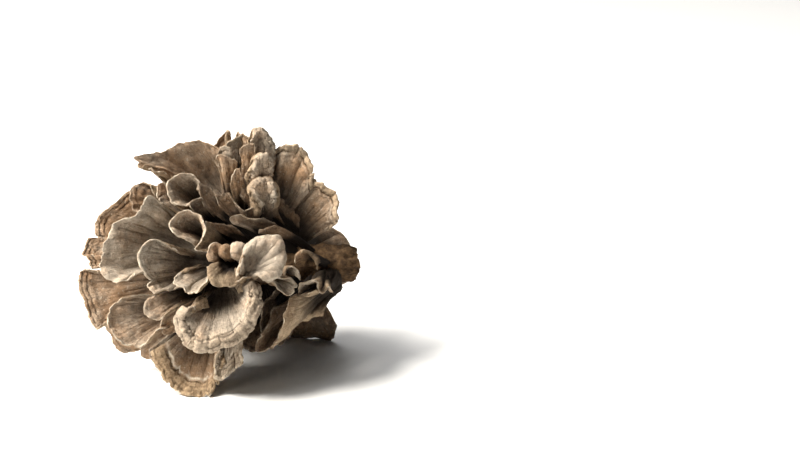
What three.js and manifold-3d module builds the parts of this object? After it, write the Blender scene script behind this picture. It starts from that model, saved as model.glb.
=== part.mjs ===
// A dried maitake mushroom (hen of the woods): one fruiting body, grown as one piece.
// A knobbly stump branches into a crown, and every branch ends in a thin fan-shaped cap.
// Millimetres, +Z up. The mushroom lies on its side on the plane z = 0, with the stump
// towards +X and the open face of the rosette towards -Y and a little upwards.
import * as THREE from 'three';
import { LoftGeometry } from 'three/addons/geometries/LoftGeometry.js';
import { mergeVertices } from 'three/addons/utils/BufferGeometryUtils.js';
import Module from 'manifold-3d';

// Driving dimensions
const faceTilt = 18; // degrees by which the open face of the rosette looks up
const stemThickness = 6; // a branch, where it leaves the crown
const stemWidth = 6; // the same branch, across its fan
const capThickness = 2.4; // flesh in the middle of a cap
const rimThickness = 1.5; // flesh beside the rim
const fanSpread = 0.4; // share of its width that a fan has reached half way along
const branchShare = 0.4; // share of a fan's length over which its branch thins down
const acrossStep = 9; // length of rim per division across a cap
const divisionsAcross = { fewest: 3, most: 8 };
const alongStations = [0, 0.28, 0.55, 0.79, 0.97, 1]; // from the crown to the rim
const probe = 0.02; // share of a cap over which the direction that it faces is measured
const limbSides = 10;
// Two waves that make a limb knobbly: height as a share of the radius, and turns of phase
const knobs = [{ height: 0.12, around: 3, along: 7 }, { height: 0.08, around: 2, along: 11 }];
const middle = [-1.3, 2.2]; // brings the middle of the mushroom over the origin: along X and Y

// Points are laid out in the frame of the open face: [across, up the face, behind it]
function point([across, up, behind]) {
  const tilt = THREE.MathUtils.degToRad(faceTilt);
  const y = behind * Math.cos(tilt) + up * Math.sin(tilt);
  const z = up * Math.cos(tilt) - behind * Math.sin(tilt);
  return new THREE.Vector3(across + middle[0], y + middle[1], z);
}

// The stump, from its cut end to the crown, and the limbs that the crown divides into.
// A radius is given for every point of a line.
const limbs = {
  stump: {
    line: [[58, 42, -6], [48, 43, -8], [36, 43, -10], [22, 42, -12], [10, 42, -14], [0, 41, -15]],
    radii: [6.8, 8, 7.6, 7.4, 6.6, 3.6],
  },
  upperLimb: {
    line: [[24, 42, -11], [14, 49, -12], [9, 58, -12], [7, 66, -12]],
    radii: [6.5, 6, 5, 3],
  },
  lowerLimb: {
    line: [[24, 42, -11], [12, 37, -13], [3, 31, -15], [-3, 24, -16]],
    radii: [6.5, 6, 5, 3],
  },
};

// Every cap: its branch leaves the crown at root, its middle passes near bend, and its rim
// runs through the rim points, clockwise as seen from the upper side of the cap.
const caps = {
  // the top of the rosette
  crest: {
    root: [6, 62, -12], bend: [-5, 80, -8],
    rim: [[-18, 75, -18], [-23, 79, -21], [-26, 82, -23], [-29.6, 84, -25], [-32, 83.2, -26],
      [-33, 86.2, -25], [-31.5, 88, -23], [-25.8, 89.2, -19], [-20.8, 90.5, -18], [-16.7, 93, -17],
      [-12.5, 94.2, -17], [-8, 94.7, -17], [-3, 93.4, -17], [1.5, 90.5, -19], [2.8, 85, -21]],
  },
  crestHem: {
    root: [2, 62, -13], bend: [-14, 72, -13], stem: 4,
    rim: [[-19, 79, -23], [-20.5, 81.5, -25], [-25, 83, -26], [-28, 83.5, -26.5], [-25, 80.5, -25.5],
      [-21.5, 77, -24], [-19, 74, -22]],
  },
  crestFoldLeft: {
    root: [9, 58, -13], bend: [6, 74, -18], stem: 5,
    rim: [[1, 86, -21], [1.5, 89.5, -23], [4, 90, -25], [7, 89, -24], [9, 86, -22]],
  },
  crestFoldRight: {
    root: [12, 56, -13], bend: [10, 69, -19], stem: 4,
    rim: [[6.2, 76, -24], [6.7, 80, -26], [8, 82.3, -27], [10.2, 83.5, -26], [11.8, 80, -24],
      [12, 76, -23]],
  },
  crestTip: {
    root: [8, 62, -12], bend: [3, 82, -10], stem: 5,
    rim: [[-3, 92, -13], [0, 96, -14], [3.7, 99.2, -15], [6.9, 99.6, -16], [6, 96, -17], [5, 93, -17]],
  },
  crestHood: {
    root: [11, 60, -12], bend: [11, 86, -12], stem: 5,
    rim: [[7.5, 96, -15], [8.8, 99, -15], [12, 98.9, -16], [14.5, 97, -17], [17, 97, -18],
      [17.5, 93, -18]],
  },
  crestColumn: {
    root: [13, 56, -12], bend: [13, 78, -20], stem: 5,
    rim: [[10.6, 88, -22], [11, 92, -24], [13, 94.8, -25], [16.4, 94, -24], [16.8, 88, -22]],
  },
  crestWall: {
    root: [12, 58, -11], bend: [10, 80, -10], stem: 5,
    rim: [[2, 90, -11], [6, 95, -11], [12, 96, -11], [18, 93, -11], [21, 86, -11]],
  },
  lumpHigh: {
    root: [14, 56, -12], bend: [18, 84, -16], stem: 5,
    rim: [[15, 92, -20], [15.2, 97, -21], [17, 100.3, -21], [20, 100, -20], [23, 96, -18],
      [25, 90, -16]],
  },
  lumpMiddle: {
    root: [15, 54, -13], bend: [19, 74, -18], stem: 5,
    rim: [[15.2, 78, -24], [15.2, 85, -26], [17.5, 89.5, -26], [22, 89, -24], [24.5, 84, -22]],
  },
  lumpLow: {
    root: [17, 52, -13], bend: [21, 66, -20], stem: 5,
    rim: [[19, 67.5, -27], [16.6, 71, -28], [16.8, 76.5, -28], [21, 79, -27], [26, 76, -25],
      [27, 70, -24]],
  },
  shoulder: {
    root: [17, 48, -11], bend: [27, 74, -10],
    rim: [[22, 86, -12], [25, 92, -15], [31, 94, -17], [37, 91, -18], [41, 85, -18], [42, 76, -16]],
  },
  shoulderLow: {
    root: [24, 45, -9], bend: [38, 64, -8],
    rim: [[36, 76, -12], [41, 78.5, -16], [47, 76, -18], [52, 70, -19], [53, 63, -18], [49, 57, -14]],
  },
  // the left side
  buttonCap: {
    root: [5, 60, -12], bend: [-24, 70, -13], stem: 4,
    rim: [[-27, 65, -23], [-31.5, 64, -25], [-34.6, 67.6, -25], [-35.5, 71.8, -24], [-35, 74.7, -21],
      [-31.7, 76.5, -18], [-28.8, 76.4, -18], [-27.1, 74.3, -19], [-25, 71.4, -20]],
  },
  leftHigh: {
    root: [3, 44, -14], bend: [-28, 58, -6],
    rim: [[-45, 51, -14], [-49.6, 53.2, -16], [-51.6, 55.5, -16], [-51.6, 59.6, -15], [-50, 63, -14.5],
      [-45.8, 66.3, -14], [-39.6, 72.1, -13], [-37.6, 73.8, -13], [-35.8, 69.6, -12], [-32, 63, -12]],
  },
  leftMiddle: {
    root: [2, 43, -14], bend: [-30, 47, -9],
    rim: [[-42, 40, -19], [-52, 40.4, -20.5], [-54.2, 45, -20], [-56.4, 46.2, -20], [-55.4, 49.5, -19],
      [-53.8, 53.6, -18], [-49, 53.5, -16], [-43, 53, -14]],
  },
  leftLow: {
    root: [2, 40, -15], bend: [-30, 33, -11],
    rim: [[-40, 22, -26], [-48.3, 17.3, -25.5], [-49.6, 15.7, -25.5], [-51, 18, -25],
      [-53.3, 23.4, -25], [-55.4, 28.4, -24.5], [-56.6, 31.3, -24], [-57.2, 36, -23.5],
      [-56.7, 39.7, -23], [-54.6, 40, -22.5], [-50.8, 39, -21.5], [-43, 38.5, -19.5]],
  },
  greyFan: {
    root: [3, 43, -16], bend: [-20, 52, -17], stem: 8,
    rim: [[-26.7, 37.1, -34], [-29.2, 38.4, -36], [-33, 37.6, -38.5], [-36.3, 35.2, -40],
      [-40.4, 35.7, -40.5], [-42.5, 37.5, -40.5], [-44, 41.3, -40], [-44.9, 47.5, -38.5],
      [-44.2, 51.3, -37.5], [-42.6, 55, -36.5], [-41.7, 58.4, -35.5], [-38.8, 61.3, -34.5],
      [-35, 63.8, -34], [-29.8, 66.3, -33], [-28.3, 67.8, -32.5], [-26.7, 70.6, -31], [-22, 69.6, -28]],
  },
  // the heart of the rosette
  shell: {
    root: [4, 41, -17], bend: [-13, 45, -24],
    rim: [[-23, 36.2, -38], [-25.6, 36.8, -40], [-27.5, 39.2, -42], [-29.6, 43, -44], [-30, 46.7, -44],
      [-28.3, 50, -42.5], [-25.8, 52.5, -40.5], [-22.5, 53.2, -38], [-20.4, 52.5, -37],
      [-18, 50.5, -36], [-14.6, 48, -34]],
  },
  shellLobe: {
    root: [2, 39, -17], bend: [-13, 38, -28],
    rim: [[-13, 35, -38], [-15.5, 33.8, -39.5], [-18, 33.3, -41], [-20.8, 31.6, -42.5],
      [-23, 31.1, -43], [-25, 32.2, -42.5], [-26.2, 34.6, -41], [-25, 37, -39]],
  },
  tongue: {
    root: [8, 41, -18], bend: [-4, 41, -32],
    rim: [[-0.3, 42, -40], [0, 38.4, -44], [-1.3, 34.2, -46], [-4.6, 30, -47], [-7.1, 29, -47],
      [-10.4, 30, -46], [-11.3, 32.1, -45.5], [-13.3, 33.4, -45], [-15.4, 35, -44], [-15.2, 38, -42],
      [-10, 40, -38]],
  },
  saddle: {
    root: [11, 41, -18], bend: [6, 43, -44],
    rim: [[-0.5, 42.6, -40], [-0.6, 38, -44], [1.5, 34.3, -45.5], [6.5, 33.8, -45], [11.8, 34.5, -43],
      [12.8, 38.5, -39]],
  },
  upperCup: {
    root: [7, 57, -13], bend: [-11, 72, -13], stem: 4,
    rim: [[-8, 69, -27], [-12.5, 67.6, -30], [-16.7, 70, -31], [-19, 73.8, -30.5], [-18.3, 76.5, -29],
      [-16.2, 78.5, -27.5], [-12.9, 79.9, -26], [-9.6, 79.5, -25], [-7, 77.2, -24.5], [-6, 73.5, -25]],
  },
  lowerCup: {
    root: [7, 46, -15], bend: [-8, 57, -24], stem: 5,
    rim: [[-5.2, 50, -35.5], [-8.5, 52.3, -38], [-12.5, 55, -39.5], [-15.8, 57.5, -39.8],
      [-16.4, 59.3, -39], [-15, 62.1, -37.5], [-12.9, 64.3, -36], [-10.2, 65, -35], [-7.3, 63.9, -34.5],
      [-5, 61.4, -35], [-3.6, 57.9, -36], [-3.8, 53.5, -36.5]],
  },
  cupSkirt: {
    root: [9, 44, -16], bend: [1, 55, -30], stem: 5,
    rim: [[-4, 61, -33], [-3, 57, -35], [-4.2, 52.5, -37], [-7.2, 49.2, -38], [-3, 47.6, -37],
      [1, 48, -35]],
  },
  curlBehindCup: {
    root: [8, 54, -14], bend: [-4, 63, -24], stem: 4,
    rim: [[-8.5, 64.4, -31], [-9.9, 68.3, -32], [-8.3, 70.4, -31], [-4.6, 70.8, -29], [-4.4, 67, -28]],
  },
  stripHigh: {
    root: [6, 52, -13], bend: [-13, 63, -24], stem: 3,
    rim: [[-21.5, 67.8, -28], [-23, 69.8, -28], [-21.6, 71.2, -27]],
  },
  stripMiddle: {
    root: [6, 53, -13], bend: [-9, 64, -24], stem: 3,
    rim: [[-16.5, 67.5, -29.5], [-18, 70.2, -29], [-16, 70.6, -28]],
  },
  knobHigh: {
    root: [6, 58, -12], bend: [-14, 70, -16], stem: 4,
    rim: [[-24.2, 70, -24], [-25.2, 73.5, -24], [-24, 76.2, -22], [-20, 76, -21]],
  },
  // long blades between the heart and the stump
  bladeA: {
    root: [20, 47, -12], bend: [4, 64, -22], stem: 4,
    rim: [[-5, 66, -28], [-6.5, 72, -28], [-6.4, 76.5, -26], [-3, 75, -25], [0, 72.5, -24]],
  },
  bladeB: {
    root: [26, 45, -11], bend: [10, 63, -23], stem: 4,
    rim: [[2, 66, -26], [0, 71.7, -26], [5.2, 72.2, -25], [8, 68.6, -25], [13.7, 64.8, -24]],
  },
  bladeBTip: {
    root: [27, 46, -11], bend: [16, 62, -20], stem: 3,
    rim: [[12.5, 64.8, -24], [14.8, 66.4, -25], [16.6, 68.5, -24], [17.5, 66, -22]],
  },
  bladeC: {
    root: [36, 44, -10], bend: [21, 63, -17], stem: 4,
    rim: [[10, 71, -22], [11.2, 74.6, -23], [12.6, 74.4, -22], [20.6, 70, -19], [25.5, 66, -17]],
  },
  bladeD: {
    root: [34, 45, -12], bend: [21, 58.5, -24], stem: 4,
    rim: [[8, 59.5, -28], [6.9, 61.8, -28], [10.4, 63, -27.5], [13.7, 61.8, -27], [20.4, 62.2, -26],
      [25, 59.5, -24]],
  },
  bladeE: {
    root: [44, 44, -11], bend: [32, 56, -24], stem: 3,
    rim: [[18.4, 55.2, -29], [18.4, 57.2, -29], [25, 58.4, -28]],
  },
  bladeF: {
    root: [18, 46, -14], bend: [8, 56.5, -24], stem: 4,
    rim: [[-2.5, 57, -29], [-3, 60.4, -29], [3, 59.6, -27], [9, 57.6, -25]],
  },
  bladeG: {
    root: [38, 46, -9], bend: [26, 62, -14], stem: 4,
    rim: [[18, 70, -16], [20, 75, -16], [28, 70, -14], [36, 62, -12]],
  },
  // buds in the heart
  budMargin: {
    root: [8, 40, -17], bend: [3, 45, -40], stem: 4,
    rim: [[-0.5, 44, -38], [-1.7, 48.5, -37], [0, 52.3, -35], [1.8, 51.6, -34], [5.5, 46.5, -35]],
  },
  budBrown: {
    root: [8, 42, -17], bend: [6, 49, -42], stem: 4,
    rim: [[3, 44, -40], [3, 50, -38], [6, 52.3, -36], [9.4, 51, -37], [10, 46, -39], [7, 43, -42]],
  },
  budPale: {
    root: [12, 42, -16], bend: [11.5, 48, -43], stem: 4,
    rim: [[8, 44, -42], [7.8, 48.5, -40], [10, 51.5, -37], [14, 51, -37], [15, 46, -40],
      [12, 42.5, -43]],
  },
  paleCap: {
    root: [11, 36, -19], bend: [19, 43, -42],
    rim: [[10.5, 37.5, -46], [12, 43, -46], [14, 50, -45], [17.6, 54.2, -44], [22.9, 55.6, -43.5],
      [28, 55, -43], [31, 50, -44], [31.5, 44, -46], [28.5, 38.5, -48], [22, 36.5, -50]],
  },
  paleCapFoot: {
    root: [12, 37, -18], bend: [16, 38, -42], stem: 5,
    rim: [[24.6, 41.2, -43], [20.4, 39.2, -44], [18.5, 38, -44.5], [14.6, 37.4, -44.5], [11, 35, -44],
      [11.4, 39.5, -41]],
  },
  // the front and the foot
  spoon: {
    root: [1, 31, -16], bend: [-22, 23, -22], stem: 7,
    rim: [[-17.5, 16.5, -37], [-20.8, 14.6, -39.5], [-25, 11.7, -42], [-29.2, 9, -43.5],
      [-32.5, 8.8, -44], [-36.3, 9.8, -44.5], [-38.3, 11.8, -44.5], [-40.8, 15.5, -44],
      [-42.4, 19.2, -43], [-42.4, 22.5, -42], [-41.2, 26.3, -40], [-38.3, 28.8, -38.5],
      [-33.8, 30.6, -36.5], [-29.2, 31.4, -34.5], [-24, 31, -32.5]],
  },
  spoonLobe: {
    root: [0, 33, -17], bend: [-15, 30, -37], stem: 4,
    rim: [[-17.6, 23, -41.5], [-19.6, 20.8, -43], [-22.5, 19.9, -44], [-25, 21.3, -44.5],
      [-26.8, 23.4, -44], [-27.4, 26.7, -43], [-26.5, 29, -41]],
  },
  spoonNeck: {
    root: [0, 32, -16], bend: [-12, 24, -30], stem: 5,
    rim: [[-15, 14, -33], [-20, 13.5, -35], [-21, 18, -37], [-18, 23, -37], [-12, 27, -36]],
  },
  greatFan: {
    root: [6, 37, -17], bend: [2, 29, -38], stem: 9,
    rim: [[13, 31.5, -37], [15.8, 34.7, -40], [18.5, 34.8, -42], [20.6, 32.5, -44], [20.9, 29, -46],
      [20.6, 24, -48], [18.9, 18.8, -49.5], [15.8, 15.3, -50.5], [12, 11.7, -51], [7.5, 9.6, -51.5],
      [3.3, 7.8, -51.5], [-1, 7, -51.3], [-6.2, 7.4, -51], [-9.4, 8.5, -50.5], [-11.9, 11.3, -50],
      [-14.4, 14.6, -49], [-15.6, 17.5, -48], [-15.1, 20.6, -47.5], [-12.5, 23.6, -46], [-8, 25.7, -43],
      [-4.5, 28, -39]],
  },
  footFan: {
    root: [0, 28, -16], bend: [-5, 9, -27], stem: 8,
    rim: [[6, 2, -36], [3, -3, -36], [2.5, -6.6, -35.5], [0.8, -9.8, -35.5], [-2.1, -12, -35.5],
      [-6.3, -12.6, -35.5], [-12.5, -11.4, -34.5], [-15.8, -9.4, -33.5], [-18.5, -7.6, -33],
      [-20.9, -5.8, -32], [-22.5, -3, -31], [-25, 2, -30], [-26.5, 7, -29]],
  },
  footLobe: {
    root: [4, 28, -17], bend: [8, 12, -30],
    rim: [[14, 13, -37], [12.9, 7.1, -39], [11.7, 3, -38.5], [8.3, -1.2, -38], [4.6, -4.5, -37.5],
      [1.3, -5.3, -37], [0.2, -2, -36.5], [0, 3, -36]],
  },
  lowLeft: {
    root: [-1, 27, -14], bend: [-26, 18, -8],
    rim: [[-33, 8, -8], [-35.4, 6.5, -8], [-38.3, 5.3, -9], [-41.7, 6.5, -10], [-43.9, 8.4, -11],
      [-44.4, 13.2, -12], [-46, 15, -13], [-45.4, 18.2, -14], [-41, 21, -15]],
  },
  lowFold: {
    root: [-1, 26, -15], bend: [-20, 14, -14],
    rim: [[-22, 2, -22], [-27, 1.5, -20], [-31.3, 3.2, -17], [-34, 6.5, -14], [-36, 11, -14]],
  },
  lowPleat: {
    root: [-1, 26, -16], bend: [-16, 12, -22],
    rim: [[-20, -3, -29], [-23, -1, -28.5], [-26.5, 2, -27], [-28, 7, -26]],
  },
  // the right side
  ribbon: {
    root: [16, 39, -17], bend: [25, 38, -37], stem: 5,
    rim: [[24, 41, -40], [28, 41, -42], [29.8, 37.5, -43], [33, 37, -42.5], [35.5, 34.6, -43],
      [35.2, 32.2, -44], [33, 30.8, -44], [29.6, 33, -44], [26.2, 35, -43.5], [22.8, 35.4, -43],
      [20.6, 37.2, -42]],
  },
  ribbonBack: {
    root: [24, 40, -15], bend: [31, 41, -34], stem: 4,
    rim: [[29, 37, -38], [29.5, 40.5, -37], [33, 42.4, -37], [35.8, 40, -38], [36.5, 36, -39]],
  },
  arch: {
    root: [46, 42, -12], bend: [40, 48, -29], stem: 4,
    rim: [[33, 42, -28], [33.5, 46.5, -29], [37, 47.6, -28], [41, 44, -26], [43, 39, -26]],
  },
  ears: {
    root: [46, 39, -12], bend: [43, 33, -30], stem: 5,
    rim: [[35, 30.5, -37], [35.6, 35.5, -37], [39.8, 36, -36.5], [41.8, 37.3, -36], [44, 35.6, -35],
      [45, 32, -34], [48, 34, -31], [50, 31, -30]],
  },
  rightVeil: {
    root: [50, 37, -10], bend: [41, 25, -36], stem: 8,
    rim: [[42, 33, -35], [37.5, 30.5, -37], [31.8, 30.2, -39], [31, 26, -40.5], [28.8, 21.7, -41],
      [28.2, 16.3, -40], [25.2, 10.5, -38], [23.5, 8.6, -37], [27, 13, -35.5], [30.6, 15.6, -34],
      [34, 17.5, -32], [40, 19.3, -29], [45, 21, -26]],
  },
  rightVeilInner: {
    root: [44, 38, -11], bend: [31, 22, -24],
    rim: [[27.5, 10, -35], [23, 7.8, -36.5], [17.5, 7.3, -36.5], [18.6, 13.4, -37.5], [22, 19, -37.5],
      [26, 25, -36.5]],
  },
  rightVeilBack: {
    root: [34, 39, -12], bend: [26, 26, -20],
    rim: [[26, 14, -28], [21, 14, -30], [20.5, 21, -32], [21, 28, -33], [25, 33, -32]],
  },
  underFan: {
    root: [12, 37, -15], bend: [16, 18, -20],
    rim: [[23, 11, -26], [19, 6.5, -28], [13, 6.6, -29], [10, 12, -28]],
  },
  innerWall: {
    root: [18, 40, -12], bend: [20, 28, -13], stem: 8,
    rim: [[34, 16, -14], [28, 8, -18], [18, 8, -20], [8, 12, -20], [3, 20, -20]],
  },
  // the back
  backLeftHigh: {
    root: [6, 46, -12], bend: [-18, 57, 4],
    rim: [[-38, 50, 2], [-44, 57, 4], [-41, 65, 6], [-32, 69, 6], [-22, 68, 4]],
  },
  backLeftLow: {
    root: [6, 40, -11], bend: [-18, 38, 10],
    rim: [[-32, 27, 10], [-43, 30, 12], [-48, 38, 13], [-44, 46, 13], [-34, 48, 10]],
  },
  backFootLeft: {
    root: [4, 33, -12], bend: [-12, 24, 18],
    rim: [[-8, 8.7, 28], [-18, 9.2, 30], [-28, 8.3, 27], [-37, 9, 22], [-38, 15, 18]],
  },
  backFootMiddle: {
    root: [12, 38, -9], bend: [6, 24, 24],
    rim: [[18, 12, 27], [13, 9.5, 31], [4, 10, 32.5], [-5, 9.5, 31], [-10, 13, 27]],
  },
  backFootRight: {
    root: [30, 41, -7], bend: [34, 22, 20],
    rim: [[50, 15, 18], [47, 8, 24], [38, 8.4, 27.5], [28, 8.7, 28.5], [20, 12, 25]],
  },
  backMiddle: {
    root: [20, 44, -8], bend: [8, 54, 20],
    rim: [[-12, 50, 16], [-8, 59, 20], [4, 64, 23], [16, 62, 22], [24, 54, 18]],
  },
  backHigh: {
    root: [13, 52, -8], bend: [6, 74, 2],
    rim: [[-12, 76, 2], [-8, 84, 6], [4, 89, 8], [14, 87, 7], [20, 78, 3]],
  },
  backRight: {
    root: [34, 43, -6], bend: [44, 46, 16],
    rim: [[38, 58, 14], [49, 57, 19], [57, 48, 20], [58, 37, 19], [48, 30, 16]],
  },
};

// Flesh thickness: a sturdy branch, a thinner cap, and a rim that closes to an edge
function thicknessAt(along) {
  if (along === 1) return 0;
  if (along < branchShare) {
    return THREE.MathUtils.mapLinear(along, 0, branchShare, stemThickness, capThickness);
  }
  return THREE.MathUtils.mapLinear(along, branchShare, 1, capThickness, rimThickness);
}

// A cap is a fan of ribs. Each rib leaves the branch at its own place across the stem and
// bends out to its own point of the rim.
function capGeometry({ root, bend, rim, stem = stemWidth }) {
  const rimPoints = rim.map(point);
  const rimLine = new THREE.CatmullRomCurve3(rimPoints);
  const rimCentre = rimPoints.reduce((sum, p) => sum.add(p), new THREE.Vector3());
  rimCentre.divideScalar(rim.length);
  const forwards = rimLine.getPointAt(0.5).sub(point(root)).normalize();
  const sideways = rimLine.getPointAt(1).sub(rimLine.getPointAt(0));
  sideways.addScaledVector(forwards, -sideways.dot(forwards)).normalize();

  const onRib = (across, along) => {
    const end = rimLine.getPointAt(across);
    const start = point(root).addScaledVector(sideways, (across - 0.5) * stem);
    const half = point(bend).addScaledVector(end.clone().sub(rimCentre), fanSpread);
    return new THREE.QuadraticBezierCurve3(start, half, end).getPoint(along);
  };
  const facing = (across, along) => {
    const a = THREE.MathUtils.clamp(across, probe, 1 - probe);
    const b = THREE.MathUtils.clamp(along, probe, 1 - probe);
    const right = onRib(a + probe, b).sub(onRib(a - probe, b));
    return right.cross(onRib(a, b + probe).sub(onRib(a, b - probe))).normalize();
  };
  const skin = (across, along, side) => {
    const half = thicknessAt(along) * Math.min(0.5, Math.sqrt(across * (1 - across)));
    return onRib(across, along).addScaledVector(facing(across, along), side * half);
  };

  const { fewest, most } = divisionsAcross;
  const divisions = THREE.MathUtils.clamp(Math.round(rimLine.getLength() / acrossStep), fewest, most);
  const upper = Array.from({ length: divisions + 1 }, (_, i) => i / divisions);
  const under = upper.slice(1, -1).reverse();
  const sections = alongStations.map((along) => [
    ...upper.map((across) => skin(across, along, 1)),
    ...under.map((across) => skin(across, along, -1)),
  ]);
  return new LoftGeometry(sections, { capStart: true, capEnd: false });
}

// A knobbly limb: rounded sections along a curve, each a little out of round
function limbGeometry({ line: points, radii }) {
  const line = new THREE.CatmullRomCurve3(points.map(point));
  const spans = points.length - 1;
  const sections = [];
  for (let i = 0; i <= 2 * spans; i++) {
    const at = i / (2 * spans);
    const radius = (radii[Math.floor(i / 2)] + radii[Math.ceil(i / 2)]) / 2;
    const tangent = line.getTangent(at);
    const sideways = new THREE.Vector3(0, 0, 1).cross(tangent).normalize();
    const upwards = tangent.clone().cross(sideways);
    const ring = [];
    for (let j = 0; j < limbSides; j++) {
      const angle = (j / limbSides) * Math.PI * 2;
      const waves = knobs.map((k) => k.height * Math.sin(k.around * angle + k.along * at));
      const spoke = sideways.clone().multiplyScalar(Math.cos(angle));
      spoke.addScaledVector(upwards, Math.sin(angle));
      ring.push(line.getPoint(at).addScaledVector(spoke, radius * (1 + waves[0] + waves[1])));
    }
    sections.push(ring);
  }
  return new LoftGeometry(sections, { capStart: true, capEnd: true });
}

const wasm = await Module();
wasm.setup();

function solidOf(geometry) {
  const bare = new THREE.BufferGeometry().setAttribute('position', geometry.getAttribute('position'));
  const merged = mergeVertices(bare.setIndex(geometry.index), 1e-4);
  const corners = merged.index.array;
  const triVerts = [];
  for (let i = 0; i < corners.length; i += 3) {
    const [a, b, c] = corners.slice(i, i + 3);
    if (a !== b && b !== c && c !== a) triVerts.push(a, b, c);
  }
  const mesh = new wasm.Mesh({
    numProp: 3,
    vertProperties: merged.attributes.position.array,
    triVerts: new Uint32Array(triVerts),
  });
  return new wasm.Manifold(mesh);
}

function geometryOf(solid) {
  const { vertProperties, triVerts } = solid.getMesh();
  return new THREE.BufferGeometry()
    .setAttribute('position', new THREE.BufferAttribute(vertProperties, 3))
    .setIndex(new THREE.BufferAttribute(triVerts, 1));
}

const parts = [...Object.values(limbs).map(limbGeometry), ...Object.values(caps).map(capGeometry)];
let body = wasm.Manifold.union(parts.map(solidOf));

// What the mushroom has settled on is pressed flat: everything below z = 0 is cut away
const belowPlane = new THREE.BoxGeometry(300, 300, 300).translate(0, 0, -150);
body = body.subtract(solidOf(belowPlane));

// Crumbs left loose by the joins are dropped
[body] = body.decompose().sort((a, b) => b.volume() - a.volume());

const flesh = new THREE.MeshStandardMaterial({ color: 0x8a7663, roughness: 0.9, metalness: 0 });
const mushroom = new THREE.Mesh(geometryOf(body), flesh);
mushroom.name = 'maitake';

const root = new THREE.Group();
root.add(mushroom);
export default root;
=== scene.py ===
import math
import re
from functools import partial

import bpy
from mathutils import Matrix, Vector


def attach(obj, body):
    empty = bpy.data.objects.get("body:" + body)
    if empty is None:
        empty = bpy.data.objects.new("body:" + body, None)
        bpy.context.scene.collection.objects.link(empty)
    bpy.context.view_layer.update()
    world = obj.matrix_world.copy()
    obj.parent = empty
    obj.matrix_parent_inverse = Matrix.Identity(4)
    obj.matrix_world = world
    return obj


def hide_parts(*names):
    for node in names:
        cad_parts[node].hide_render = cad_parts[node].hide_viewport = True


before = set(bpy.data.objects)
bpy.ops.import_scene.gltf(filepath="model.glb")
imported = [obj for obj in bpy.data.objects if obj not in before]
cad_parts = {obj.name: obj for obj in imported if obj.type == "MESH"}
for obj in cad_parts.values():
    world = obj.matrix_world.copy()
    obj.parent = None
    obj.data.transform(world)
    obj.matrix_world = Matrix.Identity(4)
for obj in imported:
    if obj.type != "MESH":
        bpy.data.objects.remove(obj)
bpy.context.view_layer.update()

# Growing settings, in mm
body = {
    "faceTilt": 18,          # degrees by which the open face of the rosette looks up
    "middle": (-1.3, 2.2),   # brings the middle of the mushroom over the origin
    "columnStep": 0.5,       # mesh spacing along a rim
    "rowStep": 1.05,         # mean mesh spacing from the crown to a rim
    "rowCrowding": 1.6,      # how much closer the rows are beside the rim, 1 for not at all
    "fewestColumns": 16, "fewestRows": 18,
    "limbRings": 110, "limbSides": 96,
    "weld": 0.002,           # points of the two skins that meet are merged within this
}

# What every cap has unless its group or its own line says otherwise. A cap that is torn has
# a rim that runs straight from point to point.
looks = {
    "stem": 6,               # width and thickness of the branch where it leaves the crown
    "flesh": 1.7,            # thickness in the middle of the cap
    "edge": 0.65,            # thickness beside the rim
    "spread": 0.4,           # share of its width that the cap has reached half way along
    "ruffle": 1.2, "ruffleLength": 15,     # slow waves of the rim
    "crinkle": 0.5,                        # quick waves of the rim
    "folds": 0.6, "foldWidth": 5,          # ridges that run out from the crown
    "lobes": 1.9, "jag": 0.4,              # how uneven the outline is
    "tears": 1.6, "tearGap": 11,           # depth and spacing of notches in the rim
    "terraces": 0.25, "zone": 3.2,         # growth steps parallel to the rim, and their width
    "cracks": 0.4,                         # how much of each step has opened into a crack
    "band": 0, "bandRise": 0,              # a thicker belt of crusty flesh along the rim
    "roll": 0, "rollWidth": 6,             # the rim turned up, or down where it is below 0
    "pale": 0.2,                           # how pale the very edge has dried
    "tone": 0.5,                           # from 0, warm brown, to 1, grey
    "bloom": 0,                            # pale share of the cap; below 0, painted shade over all of it
}

# Limbs and buds: how knobbly and how furrowed they are, their tone and bloom as on a cap
# (tone -1 is bark), and how far from a rim the flesh counts as being.
branch = {"knobs": 1.4, "furrows": 0.6, "tone": -1, "bloom": 0, "rim": 30}
bud = {"knobs": 0.6, "furrows": 0.1, "rim": 5}

# The stump, from its cut end to the crown, the limbs that the crown divides into, and two
# buds that never opened into caps.
# Points are laid out in the frame of the open face: across, up the face, behind it.
limbs = {
    "stump": dict(
        line=[(58, 42, -6), (48, 43, -8), (36, 43, -10), (22, 42, -12), (10, 42, -14),
              (0, 41, -15)],
        radii=[6.8, 8, 7.6, 7.4, 6.6, 3.6]),
    "upperLimb": dict(
        line=[(24, 42, -11), (14, 49, -12), (9, 58, -12), (7, 66, -12)], radii=[6.5, 6, 5, 3]),
    "lowerLimb": dict(
        line=[(24, 42, -11), (12, 37, -13), (3, 31, -15), (-3, 24, -16)], radii=[6.5, 6, 5, 3]),
    "budBrown": dict(
        line=[(8, 42, -17), (6.6, 46.5, -32), (6, 48, -38), (6, 48.2, -41), (6, 48.2, -42.2)],
        radii=[2.4, 2.4, 3.1, 2.4, 0.2], tone=0, bloom=-0.3, **bud),
    "budPale": dict(
        line=[(12, 42, -16), (11.6, 46.5, -32), (11.2, 48.3, -39), (11, 48, -42.4),
              (11, 47.8, -43.8)],
        radii=[2.4, 2.6, 4, 2.9, 0.2], tone=0.4, bloom=0.6, **bud),
}

# Every cap: its branch leaves the crown at root, its middle passes near bend, and its rim
# runs through the rim points, clockwise as seen from the upper side of the cap. A group has
# the piece that its caps are joined into, what they share, and each cap with what is its own.
capGroups = []

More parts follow.
